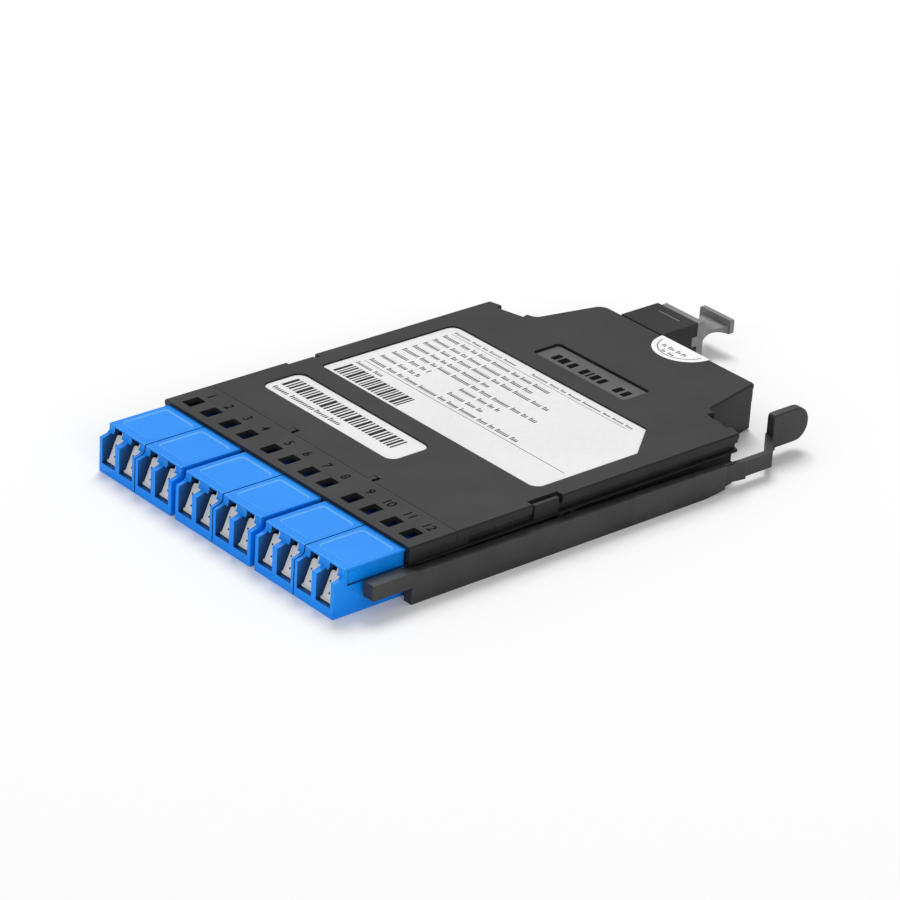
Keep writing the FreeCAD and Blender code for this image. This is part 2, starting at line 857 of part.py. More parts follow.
def sleeve_bore(x):
    start_y = boss_front_y() - beyond
    return cylinder(sleeve_outer_radius + sleeve_clearance, (x, start_y, sleeve_axis_z),
                    (x, start_y + sleeve_boss_length + 2 * beyond, sleeve_axis_z))


def build_adapter(centre):
    half = quad_width / 2
    solid = side_prism(adapter_side_view(), centre - half, centre + half)
    neck_end = body_front_y + flange_neck_length
    inner_bottom = floor_thickness
    inner_top = plate_bottom_z - flange_height_inset
    neck_half = half - flange_neck_inset
    flange_half = half - flange_inset
    solid = joined([
        solid,
        box(centre - neck_half, centre + neck_half, body_front_y - beyond, neck_end + beyond,
            inner_bottom, inner_top - flange_neck_drop),
        box(centre - flange_half, centre + flange_half, neck_end, neck_end + flange_length,
            inner_bottom, inner_top),
    ])
    cuts = []
    for offset in port_offsets:
        cuts += port_space(centre + offset)
    cuts.append(box(centre - duplex_groove / 2, centre + duplex_groove / 2, -beyond,
                    body_front_y + beyond, adapter_top_z - duplex_groove,
                    adapter_top_z + beyond))
    cuts.append(box(centre - duplex_groove / 2, centre + duplex_groove / 2, -beyond,
                    front_setback + duplex_groove, -beyond, adapter_top_z + beyond))
    for side in (-1, 1):
        outer = centre + side * half
        inner = outer - side * side_panel_depth
        cuts.append(box(min(outer, inner), max(outer, inner), front_setback + side_panel_setback,
                        body_front_y + beyond, side_panel_bottom_z,
                        adapter_top_z - side_panel_top_inset))
        cuts.append(top_panel(centre + side * duplex_pitch / 2))
    for shape in cuts:
        solid = solid.cut(shape)
    solid = joined([solid] + [sleeve_boss(centre + offset) for offset in port_offsets])
    for offset in port_offsets:
        solid = solid.cut(sleeve_bore(centre + offset))
    return solid


def panel_corners(x, growth):
    half = duplex_pitch / 2 - panel_side_inset + growth
    return rounded_rectangle(x - half, x + half, front_setback + panel_front_inset - growth,
                             body_front_y - panel_rear_inset + growth, panel_radius + growth)


def top_panel(x):
    # Shallow rounded panel with sloping edges, sunk in the top of each duplex half.
    return lofted(panel_corners(x, -panel_bevel), adapter_top_z - panel_depth,
                  panel_corners(x, panel_bevel), adapter_top_z + panel_depth)


def build_shutter(x):
    # T-shaped flap, drawn upright over its hinge and then leaned back to its rest.
    half = shutter_width / 2
    tongue_half = shutter_tongue_width / 2
    top = hinge_z + shutter_body_length
    tip = top + shutter_tongue_length
    corners = [
        (x - half, hinge_z, 0),
        (x + half, hinge_z, 0),
        (x + half, top, shutter_corner),
        (x + tongue_half, top, 0),
        (x + tongue_half, tip, shutter_tip_radius),
        (x - tongue_half, tip, shutter_tip_radius),
        (x - tongue_half, top, 0),
        (x - half, top, shutter_corner),
    ]
    front = hinge_y - shutter_thickness / 2
    flap = front_prism(corners, front, front + shutter_thickness)
    pin_half = half + hinge_pin_length
    pin = cylinder(hinge_pin_radius, (x - pin_half, hinge_y, hinge_z),
                   (x + pin_half, hinge_y, hinge_z))
    flap = joined([flap, pin])
    for height in dimple_heights:
        flap = flap.cut(cylinder(dimple_radius, (x, front - beyond, hinge_z + height),
                                 (x, front + dimple_depth, hinge_z + height)))
    return turned(flap, -shutter_lean, (x, hinge_y, hinge_z), (1, 0, 0))


def build_sleeve(x):
    # Split ceramic sleeve that lines up two ferrules.
    start = boss_front_y() + sleeve_end_gap
    end = boss_front_y() + sleeve_boss_length - sleeve_end_gap
    tube = cylinder(sleeve_outer_radius, (x, start, sleeve_axis_z), (x, end, sleeve_axis_z))
    tube = tube.cut(cylinder(sleeve_inner_radius, (x, start - beyond, sleeve_axis_z),
                             (x, end + beyond, sleeve_axis_z)))
    return tube.cut(box(x - sleeve_slit / 2, x + sleeve_slit / 2, start - beyond, end + beyond,
                        sleeve_axis_z, sleeve_axis_z + sleeve_outer_radius + beyond))


def build_inner_plug(x):
    # Small plug on the housing's side of a port: body round the sleeve's boss, ferrule, boot.
    start = plug_front_y
    boss_end = boss_front_y() + sleeve_boss_length
    half = plug_width / 2
    top = plug_bottom_z + plug_height
    corners = [
        (x - half, plug_bottom_z, plug_bottom_radius),
        (x + half, plug_bottom_z, plug_bottom_radius),
        (x + half, top, plug_top_radius),
        (x - half, top, plug_top_radius),
    ]
    body = front_prism(corners, start, start + plug_length)
    body = body.cut(cylinder(sleeve_boss_radius + plug_gap / 2, (x, start - beyond, sleeve_axis_z),
                             (x, boss_end + plug_gap, sleeve_axis_z)))
    ferrule = cylinder(ferrule_radius, (x, boss_end - ferrule_length, sleeve_axis_z),
                       (x, boss_end + beyond, sleeve_axis_z))
    boot = cone(boot_front_radius, boot_rear_radius, (x, start + plug_length - beyond,
                sleeve_axis_z), (x, start + plug_length + boot_length, sleeve_axis_z))
    return joined([body, ferrule, boot])


# ---- Rear adapter and dust cap --------------------------------------------------------
def build_rear_adapter():
    half = snout_width / 2
    snout = box(snout_x - half, snout_x + half, tail_y + seam_gap, snout_rear_y,
                snout_bottom_z, body_height)
    inside_top = plate_bottom_z - snout_clearance
    inner = box(snout_x - half, snout_x + half, rear_adapter_front_y, tail_y + beyond,
                snout_bottom_z, inside_top)
    flange_half = rear_flange_width / 2
    flange_y = rear_flange_rear_y()
    flange = box(snout_x - flange_half, snout_x + flange_half, flange_y - rear_flange_thickness,
                 flange_y, floor_thickness, inside_top)
    solid = joined([snout, inner, flange])
    bore_half = rear_bore_width / 2
    solid = solid.cut(box(snout_x - bore_half, snout_x + bore_half,
                          rear_adapter_front_y - beyond, snout_rear_y + beyond,
                          rear_bore_bottom_z, rear_bore_top_z))
    solid = solid.cut(box(snout_x - half - beyond, snout_x + half + beyond,
                          snout_rear_y - snout_notch_length, snout_rear_y + beyond,
                          snout_notch_bottom_z, snout_notch_top_z))
    return solid.cut(box(snout_x - key_groove_width / 2, snout_x + key_groove_width / 2,
                         key_groove_y - key_groove_length / 2,
                         key_groove_y + key_groove_length / 2,
                         body_height - key_groove_depth, body_height + beyond))


def build_rear_plug():
    # Multi-fibre plug that sits in the adapter from inside, with its boot.
    half = rear_plug_width / 2
    middle_z = (rear_bore_bottom_z + rear_bore_top_z) / 2
    half_height = rear_plug_height / 2
    corners = rounded_rectangle(snout_x - half, snout_x + half, middle_z - half_height,
                                middle_z + half_height, rear_plug_radius)
    body = front_prism(corners, rear_plug_front_y, rear_plug_rear_y)
    boot = cone(rear_boot_tip_radius, rear_boot_root_radius,
                (snout_x, rear_plug_front_y - rear_boot_length, middle_z),
                (snout_x, rear_plug_front_y + beyond, middle_z))
    return joined([body, boot])


def cap_neck():
    # Waisted grip between the flange and the tee, arched underneath.
    front_y = snout_rear_y + cap_flange_length
    rear_y = cap_rear_y - cap_tee_thickness
    wide = cap_flange_width / 2
    tee = cap_tee_width / 2 - cap_tee_overhang
    waist = cap_waist_width / 2
    middle_y = (front_y + rear_y) / 2
    right = Part.Arc(Vector(snout_x + wide, front_y, 0), Vector(snout_x + waist, middle_y, 0),
                     Vector(snout_x + tee, rear_y, 0)).toShape()
    left = Part.Arc(Vector(snout_x - tee, rear_y, 0), Vector(snout_x - waist, middle_y, 0),
                    Vector(snout_x - wide, front_y, 0)).toShape()
    ends = [
        Part.LineSegment(Vector(snout_x + tee, rear_y, 0),
                         Vector(snout_x - tee, rear_y, 0)).toShape(),
        Part.LineSegment(Vector(snout_x - wide, front_y, 0),
                         Vector(snout_x + wide, front_y, 0)).toShape(),
    ]
    plan = Part.Face(Part.Wire([right, ends[0], left, ends[1]]))
    column = plan.extrude(Vector(0, 0, body_height))
    over = Part.Arc(Vector(0, front_y, cap_flange_top_z),
                    Vector(0, front_y + cap_dip_run, cap_neck_top_z + cap_dip_rise),
                    Vector(0, rear_y, cap_neck_top_z)).toShape()
    under = Part.Arc(Vector(0, rear_y, cap_tee_bottom_z),
                     Vector(0, middle_y, cap_neck_bottom_z),
                     Vector(0, front_y, cap_flange_bottom_z)).toShape()
    rear = Part.LineSegment(Vector(0, rear_y, cap_neck_top_z),
                            Vector(0, rear_y, cap_tee_bottom_z)).toShape()
    front = Part.LineSegment(Vector(0, front_y, cap_flange_bottom_z),
                             Vector(0, front_y, cap_flange_top_z)).toShape()
    section = Part.Face(Part.Wire([over, rear, under, front]))
    section.translate(Vector(snout_x - wide - beyond, 0, 0))
    slab = section.extrude(Vector(2 * (wide + beyond), 0, 0))
    return column.common(slab)


def build_cap():
    half = cap_flange_width / 2
    flange_rear = snout_rear_y + cap_flange_length
    flange = front_prism(
        rounded_rectangle(snout_x - half, snout_x + half, cap_flange_bottom_z,
                          cap_flange_top_z, cap_fillet), snout_rear_y, flange_rear)
    tee_half = cap_tee_width / 2
    tee = front_prism(
        rounded_rectangle(snout_x - tee_half, snout_x + tee_half, cap_tee_bottom_z,
                          cap_tee_top_z, cap_fillet), cap_rear_y - cap_tee_thickness, cap_rear_y)
    plug_half = rear_bore_width / 2 - cap_plug_clearance
    plug_bottom = rear_bore_bottom_z + cap_plug_clearance
    plug_top = rear_bore_top_z - cap_plug_clearance
    plug = box(snout_x - plug_half, snout_x + plug_half, snout_rear_y - cap_plug_length,
               snout_rear_y, plug_bottom, plug_top)
    plug = plug.cut(box(snout_x - plug_half + cap_plug_wall, snout_x + plug_half - cap_plug_wall,
                        snout_rear_y - cap_plug_length - beyond, snout_rear_y - cap_plug_wall,
                        plug_bottom + cap_plug_wall, plug_top - cap_plug_wall))
    ears = []
    for side in (-1, 1):
        outer = snout_x + side * snout_width / 2
        inner = snout_x + side * (plug_half - cap_plug_wall / 2)
        ears.append(box(min(outer, inner), max(outer, inner),
                        snout_rear_y - snout_notch_length + cap_ear_clearance, snout_rear_y,
                        snout_notch_bottom_z + cap_ear_clearance,
                        snout_notch_top_z - cap_ear_clearance))
    return joined([flange, cap_neck(), tee, plug] + ears)


# ---- Latch lever ----------------------------------------------------------------------
def lever_bar():
    rear_inner_x = lever_outer_x - lever_rear_thickness
    plan = [
        (lever_outer_x, bar_front_y, 0),
        (lever_outer_x, catch_front_y, 0),
        (lever_outer_x - catch_dip, catch_front_y, 0),
        (lever_outer_x, catch_rear_y, catch_tip_radius),
        (rear_inner_x, catch_rear_y, 0),
        (lever_inner_x, pivot_y, 0),
        (lever_inner_x, bar_front_y, 0),
    ]
    column = plan_prism(plan, 0, body_height)
    run = side_profile(bar_front_y, 0, rear_inner_x - lever_thickness, lever_outer_x + beyond)
    front = run.common(box(lever_inner_x - beyond, lever_outer_x + beyond, bar_front_y,
                           catch_front_y, -beyond, body_height))
    catch = box(lever_inner_x, lever_outer_x + beyond, catch_front_y, catch_rear_y,
                catch_bottom_z, catch_top_z)
    skid = run.common(box(lever_inner_x, lever_outer_x - catch_dip, catch_front_y, bar_rear_y,
                          -beyond, body_height))
    return column.common(joined([front, catch, skid]))


def lever_arm():
    # Thin neck behind the catch, bent in towards the paddle.
    inner_x = neck_outer_x - neck_thickness
    root_x = paddle_outer_x - paddle_thickness
    plan = [
        (neck_outer_x, catch_rear_y - beyond, 0),
        (neck_outer_x, neck_rear_y, neck_outer_radius),
        (paddle_outer_x, paddle_front_y, 0),
        (paddle_outer_x, paddle_front_y + beyond, 0),
        (root_x, paddle_front_y + beyond, 0),
        (root_x, paddle_front_y - root_bend_offset, neck_inner_radius),
        (inner_x, neck_rear_y - neck_bend_offset, neck_inner_radius),
        (inner_x, catch_rear_y - beyond, 0),
    ]
    return plan_prism(plan, neck_bottom_z, neck_top_z)


def lever_paddle():
    corners = [
        (paddle_front_y, paddle_bottom_z, paddle_foot_radius),
        (paddle_rear_y, paddle_bottom_z, paddle_rear_radius),
        (paddle_rear_y, paddle_top_z, paddle_rear_radius),
        (paddle_front_y, paddle_top_z, paddle_front_radius),
    ]
    plate = side_prism(corners, paddle_outer_x - paddle_thickness, paddle_outer_x)
    rims = [edge for edge in plate.Edges if edge.BoundBox.XLength < tolerance]
    return plate.makeFillet(paddle_edge, rims)


def build_lever():
    nose = box(lever_outer_x - nose_thickness, lever_outer_x, nose_front_y,
               bar_front_y + beyond, nose_bottom_z, nose_top_z)
    nose = nose.makeFillet(lever_edge, [edge for edge in nose.Edges
                                        if edge.BoundBox.YMax < nose_front_y + tolerance])
    nose_tail = box(lever_outer_x - nose_thickness - beyond, lever_inner_x,
                    bar_front_y - nose_heel, bar_front_y + 2 * beyond, 0, body_height)
    knuckle = cylinder(knuckle_radius, (pivot_x, pivot_y, knuckle_bottom_z),
                       (pivot_x, pivot_y, bar_top_rear_z))
    stem = box(pivot_x, lever_inner_x + beyond, pivot_y - knuckle_neck_width / 2,
               pivot_y + knuckle_neck_width / 2, knuckle_bottom_z, bar_top_rear_z)
    return joined([lever_bar(), nose.cut(nose_tail), lever_arm(), lever_paddle(), knuckle, stem])


# ---- Fibre management -----------------------------------------------------------------
def build_fanout():
    # Block that splits the multi-fibre bundle into the twelve single fibres.
    half = fanout_width / 2
    corners = rounded_rectangle(-half, half, fanout_rear_y - fanout_length, fanout_rear_y,
                                fanout_radius)
    return plan_prism(corners, floor_thickness, floor_thickness + fanout_height)


def build_bundle():
    # Bundle from the rear plug's boot, once round the +X spool, to the fan-out block.
    middle_z = (rear_bore_bottom_z + rear_bore_top_z) / 2
    wrap = spool_radius + bundle_gap + bundle_radius
    rear_run_y = spool_y + wrap
    front_run_y = spool_y - wrap
    start = Vector(snout_x, rear_plug_front_y - rear_boot_length, middle_z)
    entry = bundle_bend_share * (start.y - rear_run_y)
    leave = bundle_bend_share * (front_run_y - fanout_rear_y)
    diagonal = math.sqrt(0.5)
    points = [
        start,
        Vector(snout_x, rear_run_y + entry, middle_z),
        Vector(snout_x + entry * (1 - diagonal), rear_run_y + entry * (1 - diagonal), middle_z),
        Vector(snout_x + entry, rear_run_y, middle_z),
        Vector(spool_x, rear_run_y, middle_z),
        Vector(spool_x + wrap, spool_y, middle_z),
        Vector(spool_x, front_run_y, middle_z),
        Vector(leave, front_run_y, middle_z),
        Vector(leave * (1 - diagonal), front_run_y - leave * (1 - diagonal), middle_z),
        Vector(0, front_run_y - leave, middle_z),
        Vector(0, fanout_rear_y, middle_z),
    ]
    path = Part.Wire([
        Part.LineSegment(points[0], points[1]).toShape(),
        Part.Arc(points[1], points[2], points[3]).toShape(),
        Part.LineSegment(points[3], points[4]).toShape(),
        Part.Arc(points[4], points[5], points[6]).toShape(),
        Part.LineSegment(points[6], points[7]).toShape(),
        Part.Arc(points[7], points[8], points[9]).toShape(),
        Part.LineSegment(points[9], points[10]).toShape(),
    ])
    ring = Part.Wire([Part.Circle(start, Vector(0, -1, 0), bundle_radius).toShape()])
    return path.makePipeShell([ring], True, False)


# ---- Labels ---------------------------------------------------------------------------
def build_seal():
    # Round sticker folded over the rear edge: half on the cover, half on the rear wall.
    floor_z = body_height - seal_sink
    top = seal_disc(seal_radius, floor_z, floor_z + label_thickness)
    rear = cylinder(seal_radius, (seal_x, tail_y, floor_z),
                    (seal_x, tail_y + label_thickness, floor_z))
    below = box(seal_x - seal_radius - beyond, seal_x + seal_radius + beyond, tail_y - beyond,
                tail_y + beyond, floor_z + label_thickness, body_height + seal_radius)
    return joined([top, rear.cut(below)])


def build_labels():
    floor_z = body_height - label_recess
    plate_z = body_height - plate_recess
    return {
        "main_label": plan_prism(label_corners(0), floor_z, floor_z + label_thickness),
        "small_label": plan_prism(small_label_corners(0), floor_z, floor_z + label_thickness),
        "seal_label": build_seal(),
        "marking_plate": plan_prism(plate_corners(0), plate_z,
                                    plate_z + plate_inlay_thickness),
    }


# ---- All nodes ------------------------------------------------------------------------
def build_parts():
    parts = {
        "base_shell": build_base(),
        "top_cover": build_cover(),
        "front_bezel": build_bezel(),
        "rear_adapter": build_rear_adapter(),
        "rear_inner_plug": build_rear_plug(),
        "dust_cap": build_cap(),
        "latch_lever": build_lever(),
        "fanout_block": build_fanout(),
        "fibre_bundle": build_bundle(),
    }
    parts.update(build_labels())
    for index, centre in enumerate(quad_centres, start=1):
        parts[f"quad_adapter_{index}"] = build_adapter(centre)
    for index, x in enumerate(port_centres, start=1):
        parts[f"port_shutter_{index:02d}"] = build_shutter(x)
        parts[f"alignment_sleeve_{index:02d}"] = build_sleeve(x)
        parts[f"inner_plug_{index:02d}"] = build_inner_plug(x)
    return parts


def main():
    os.makedirs("parts", exist_ok=True)
    for name, shape in build_parts().items():
        shape.exportStep(f"parts/{name}.step")
        bounds = shape.BoundBox
        print(name, "valid", shape.isValid(), "solids", len(shape.Solids),
              "volume", round(shape.Volume, 1),
              "x", round(bounds.XMin, 2), round(bounds.XMax, 2),
              "y", round(bounds.YMin, 2), round(bounds.YMax, 2),
              "z", round(bounds.ZMin, 2), round(bounds.ZMax, 2))


main()
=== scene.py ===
import math

import bpy
from mathutils import Matrix, Vector


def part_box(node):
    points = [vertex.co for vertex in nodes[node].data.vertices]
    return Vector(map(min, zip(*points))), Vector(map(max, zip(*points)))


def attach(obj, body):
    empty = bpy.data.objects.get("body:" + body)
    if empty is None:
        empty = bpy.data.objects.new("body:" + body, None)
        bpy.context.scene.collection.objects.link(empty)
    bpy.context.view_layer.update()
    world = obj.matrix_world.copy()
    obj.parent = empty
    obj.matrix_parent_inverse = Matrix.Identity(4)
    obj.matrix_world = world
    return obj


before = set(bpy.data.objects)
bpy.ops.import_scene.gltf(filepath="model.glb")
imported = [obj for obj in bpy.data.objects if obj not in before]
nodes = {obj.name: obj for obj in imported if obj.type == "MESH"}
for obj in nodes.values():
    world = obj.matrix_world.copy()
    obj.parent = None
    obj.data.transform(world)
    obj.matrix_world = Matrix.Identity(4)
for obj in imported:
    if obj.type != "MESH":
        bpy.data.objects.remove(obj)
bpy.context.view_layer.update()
print("stage: frame loaded,", len(nodes), "nodes")

mm = 0.001


# small helpers

def hexColour(text):
    # sRGB hex to the linear colour that Blender's sockets take
    channels = [int(text[i:i + 2], 16) / 255 for i in (0, 2, 4)]
    linear = [c / 12.92 if c <= 0.04045 else ((c + 0.055) / 1.055) ** 2.4 for c in channels]
    return (*linear, 1.0)


def finishPiece(members, name, body, material):
    # joins the members into one piece with its origin at the frame's, and hands it over
    bpy.ops.object.select_all(action="DESELECT")
    for member in members:
        member.select_set(True)
    bpy.context.view_layer.objects.active = members[0]
    if len(members) > 1:
        bpy.ops.object.join()
    bpy.ops.object.transform_apply(location=True, rotation=True, scale=True)
    piece = bpy.context.object
    piece.name = name
    piece.data.name = name
    piece.data.materials.clear()
    piece.data.materials.append(material)
    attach(piece, body)


# camera and light

# lengths in mm, angles in degrees, and the clipping range in metres
cameraSetup = {
    "target": (-5.11, 69.90, 0.0),
    "distance": 844.85,
    "azimuth": 48.32,
    "elevation": 26.45,
    "roll": 3.37,
    "lens": 152.2,
    "sensor": 36.0,
    "clip": (0.05, 20.0),
}


def addCamera():
    azimuth = math.radians(cameraSetup["azimuth"])
    elevation = math.radians(cameraSetup["elevation"])
    roll = math.radians(cameraSetup["roll"])
    back = Vector((math.sin(azimuth) * math.cos(elevation),
                   -math.cos(azimuth) * math.cos(elevation), math.sin(elevation)))
    right = (-back).cross(Vector((0, 0, 1))).normalized()
    up = right.cross(-back)
    turnedRight = right * math.cos(roll) + up * math.sin(roll)
    turnedUp = up * math.cos(roll) - right * math.sin(roll)
    place = (Vector(cameraSetup["target"]) + back * cameraSetup["distance"]) * mm
    data = bpy.data.cameras.new("mainCamera")
    data.lens = cameraSetup["lens"]
    data.sensor_width = cameraSetup["sensor"]
    data.clip_start, data.clip_end = cameraSetup["clip"]
    camera = bpy.data.objects.new("mainCamera", data)
    bpy.context.scene.collection.objects.link(camera)
    turn = Matrix((turnedRight, turnedUp, back)).transposed().to_4x4()
    camera.matrix_world = Matrix.Translation(place) @ turn
    bpy.context.scene.camera = camera


addCamera()

# places and sizes in metres, power in watts, all lamps aimed at one point
lampAim = (0.0, 0.07, 0.0)
lampSetup = {
    "keyLamp": {"place": (-0.95, 0.85, 1.90), "size": 1.2, "power": 30.5},
    "fillLamp": {"place": (1.90, -0.50, 0.90), "size": 1.2, "power": 9.0},
    "frontLamp": {"place": (0.20, -2.10, 0.60), "size": 1.4, "power": 8.0},
}


def addLamp(name, place, size, power):
    data = bpy.data.lights.new(name, "AREA")
    data.shape = "DISK"
    data.size = size
    data.energy = power
    lamp = bpy.data.objects.new(name, data)
    bpy.context.scene.collection.objects.link(lamp)
    lamp.location = place
    toward = Vector(lampAim) - Vector(place)
    lamp.rotation_euler = toward.to_track_quat("-Z", "Y").to_euler()


for lampName, lampSettings in lampSetup.items():
    addLamp(lampName, **lampSettings)


def addNode(tree, kind, settings=None, links=None):
    # settings: attribute or input name -> value, links: input name -> output socket
    node = tree.nodes.new(kind)
    for key, value in (settings or {}).items():
        if isinstance(key, int) or key in node.inputs:
            node.inputs[key].default_value = value
        else:
            setattr(node, key, value)
    for key, source in (links or {}).items():
        tree.links.new(source, node.inputs[key])
    return node


worldSetup = {"colour": "FFFFFF", "strength": 0.42, "seenStrength": 1.0}


def setWorld():
    # an even white room: a soft light on the scene, and full white where it is looked at
    world = bpy.data.worlds.new("studioWorld")
    bpy.context.scene.world = world
    world.use_nodes = True
    tree = world.node_tree
    tree.nodes.clear()
    paths = addNode(tree, "ShaderNodeLightPath")
    white = hexColour(worldSetup["colour"])
    light = addNode(tree, "ShaderNodeBackground", {"Color": white,
                                                   "Strength": worldSetup["strength"]})
    seen = addNode(tree, "ShaderNodeBackground", {"Color": white,
                                                  "Strength": worldSetup["seenStrength"]})
    either = addNode(tree, "ShaderNodeMixShader", None,
                     {0: paths.outputs["Is Camera Ray"], 1: light.outputs[0],
                      2: seen.outputs[0]})
    addNode(tree, "ShaderNodeOutputWorld", None, {"Surface": either.outputs[0]})


setWorld()
bpy.context.scene.view_settings.view_transform = "Standard"

# size and drop in metres; seenShare is how far the paper turns to the room's white
floorSetup = {"size": 6.0, "drop": 0.00005, "colour": "FFFFFF", "seenShare": 0.06,
              "glow": 1.0}


def addFloor():
    bpy.ops.mesh.primitive_plane_add(size=floorSetup["size"],
                                     location=(0, 0, -floorSetup["drop"]))
    floor = bpy.context.object
    floor.name = "studioFloor"
    material = bpy.data.materials.new("studioPaper")
    material.use_nodes = True
    tree = material.node_tree
    tree.nodes.clear()
    paths = addNode(tree, "ShaderNodeLightPath")
    share = addNode(tree, "ShaderNodeMath",
                    {"operation": "MULTIPLY", 1: floorSetup["seenShare"]},
                    {0: paths.outputs["Is Camera Ray"]})
    white = hexColour(floorSetup["colour"])
    paper = addNode(tree, "ShaderNodeBsdfDiffuse", {"Color": white})
    glow = addNode(tree, "ShaderNodeEmission", {"Color": white, "Strength": floorSetup["glow"]})
    either = addNode(tree, "ShaderNodeMixShader", None,
                     {0: share.outputs[0], 1: paper.outputs[0], 2: glow.outputs[0]})
    addNode(tree, "ShaderNodeOutputMaterial", None, {"Surface": either.outputs[0]})
    floor.data.materials.append(material)


addFloor()
print("stage: camera, lamps and floor")


# materials

# darkUpTo and lightFrom are places on the sum of both noises, of which grainShare weighs the
# fine one, and roughSpread is how far the grain takes the roughness either way
grainSetup = {
    "cloudDetail": 3.0,
    "grainDetail": 2.0,
    "grainBreak": 0.6,
    "grainShare": 0.55,
    "darkUpTo": 0.55,
    "lightFrom": 1.0,
    "roughSpread": 0.06,
    "bump": 0.35,
}


def perMetre(sizeInMm):
    # a noise texture's scale that gives features of this size
    return 1.0 / (sizeInMm * mm)


def mouldedPlastic(name, dark, light, rough, grainSize, grainDepth, cloudSize=14.0, ior=1.5,
                   specular=0.5):
    # Moulded plastic: slow colour drift of the melt, and the mould's spark-eroded grain in
    # bump and in roughness, which breaks up the gloss. Sizes and depth are in mm.
    material = bpy.data.materials.new(name)
    material.use_nodes = True
    tree = material.node_tree
    tree.nodes.clear()
    place = addNode(tree, "ShaderNodeTexCoord").outputs["Object"]
    shader = addNode(tree, "ShaderNodeBsdfPrincipled")
    addNode(tree, "ShaderNodeOutputMaterial", None, {"Surface": shader.outputs[0]})
    cloud = addNode(tree, "ShaderNodeTexNoise",
                    {"Scale": perMetre(cloudSize), "Detail": grainSetup["cloudDetail"]},
                    {"Vector": place})
    grain = addNode(tree, "ShaderNodeTexNoise",
                    {"Scale": perMetre(grainSize), "Detail": grainSetup["grainDetail"],
                     "Roughness": grainSetup["grainBreak"]}, {"Vector": place})
    both = addNode(tree, "ShaderNodeMath",
                   {"operation": "MULTIPLY_ADD", 1: grainSetup["grainShare"]},
                   {0: grain.outputs[0], 2: cloud.outputs[0]})
    ramp = addNode(tree, "ShaderNodeValToRGB", None, {"Fac": both.outputs[0]})
    darkEnd, lightEnd = ramp.color_ramp.elements
    darkEnd.position = grainSetup["darkUpTo"]
    darkEnd.color = hexColour(dark)
    lightEnd.position = grainSetup["lightFrom"]
    lightEnd.color = hexColour(light)
    spread = addNode(tree, "ShaderNodeMapRange", {"To Min": rough - grainSetup["roughSpread"],
                                                  "To Max": rough + grainSetup["roughSpread"]},
                     {"Value": grain.outputs[0]})
    bump = addNode(tree, "ShaderNodeBump",
                   {"Strength": grainSetup["bump"], "Distance": grainDepth * mm},
                   {"Height": grain.outputs[0]})
    tree.links.new(ramp.outputs[0], shader.inputs["Base Color"])
    tree.links.new(spread.outputs[0], shader.inputs["Roughness"])
    tree.links.new(bump.outputs[0], shader.inputs["Normal"])
    shader.inputs["IOR"].default_value = ior
    shader.inputs["Specular IOR Level"].default_value = specular
    return material


# black ABS from a spark-eroded mould: a grey sheen, its grain drawn large enough to show
housingAbs = mouldedPlastic("blackAbsMoulded", dark="202020", light="2C2C2C", rough=0.48,
                            grainSize=0.45, grainDepth=0.035, specular=0.22)
# the bezel and the lever come from their own moulds, a little lighter and smoother
bezelAbs = mouldedPlastic("blackAbsBezel", dark="202020", light="2E2E2E", rough=0.46,
                          grainSize=0.4, grainDepth=0.03, specular=0.22)
leverPom = mouldedPlastic("blackAcetalLever", dark="282828", light="383838", rough=0.42,
                          grainSize=0.5, grainDepth=0.03, ior=1.48, specular=0.36)
snoutPbt = mouldedPlastic("blackPbtAdapter", dark="181818", light="222222", rough=0.42,
                          grainSize=0.4, grainDepth=0.02, specular=0.18)
# blue PBT from a polished mould: clean and semi-gloss
portPbt = mouldedPlastic("bluePbtPort", dark="0088F6", light="1094FE", rough=0.34,
                         grainSize=0.6, grainDepth=0.012, cloudSize=20.0, specular=0.2)
plugPbt = mouldedPlastic("bluePbtPlug", dark="1160D0", light="1B70E4", rough=0.22,
                         grainSize=0.6, grainDepth=0.01)
innerPlugAbs = mouldedPlastic("blackAbsInnerPlug", dark="202020", light="2C2C2C", rough=0.4,
                              grainSize=0.4, grainDepth=0.02)
shutterPc = mouldedPlastic("whitePolycarbonateShutter", dark="F4F5F5", light="FFFFFF",
                           rough=0.3, grainSize=0.5, grainDepth=0.01)
capPe = mouldedPlastic("greyPolyethyleneCap", dark="6E6E6E", light="808080", rough=0.45,
                       grainSize=0.5, grainDepth=0.03)
ceramic = mouldedPlastic("zirconiaSleeve", dark="EDEBE6", light="F7F6F2", rough=0.15,
                         grainSize=0.8, grainDepth=0.004, ior=2.1)
fanoutAbs = mouldedPlastic("greyAbsFanout", dark="3A3A3C", light="464648", rough=0.5,
                           grainSize=0.4, grainDepth=0.03)
jacketLszh = mouldedPlastic("aquaJacket", dark="2FA7AE", light="3BB7BE", rough=0.4,
                            grainSize=0.7, grainDepth=0.02)
plateAbs = mouldedPlastic("greyAbsMarkingPlate", dark="404040", light="4C4C4C", rough=0.5,
                          grainSize=0.4, grainDepth=0.03)
# white polyester film, printed and die-cut: very smooth, with the faintest ripple
labelFilm = mouldedPlastic("whitePolyesterLabel", dark="E7E7E7", light="EFEFEF", rough=0.38,
                           grainSize=1.2, grainDepth=0.006, cloudSize=30.0)
sealPaper = mouldedPlastic("whitePaperSeal", dark="F3F3F3", light="FAFAFA", rough=0.55,
                           grainSize=0.5, grainDepth=0.01)
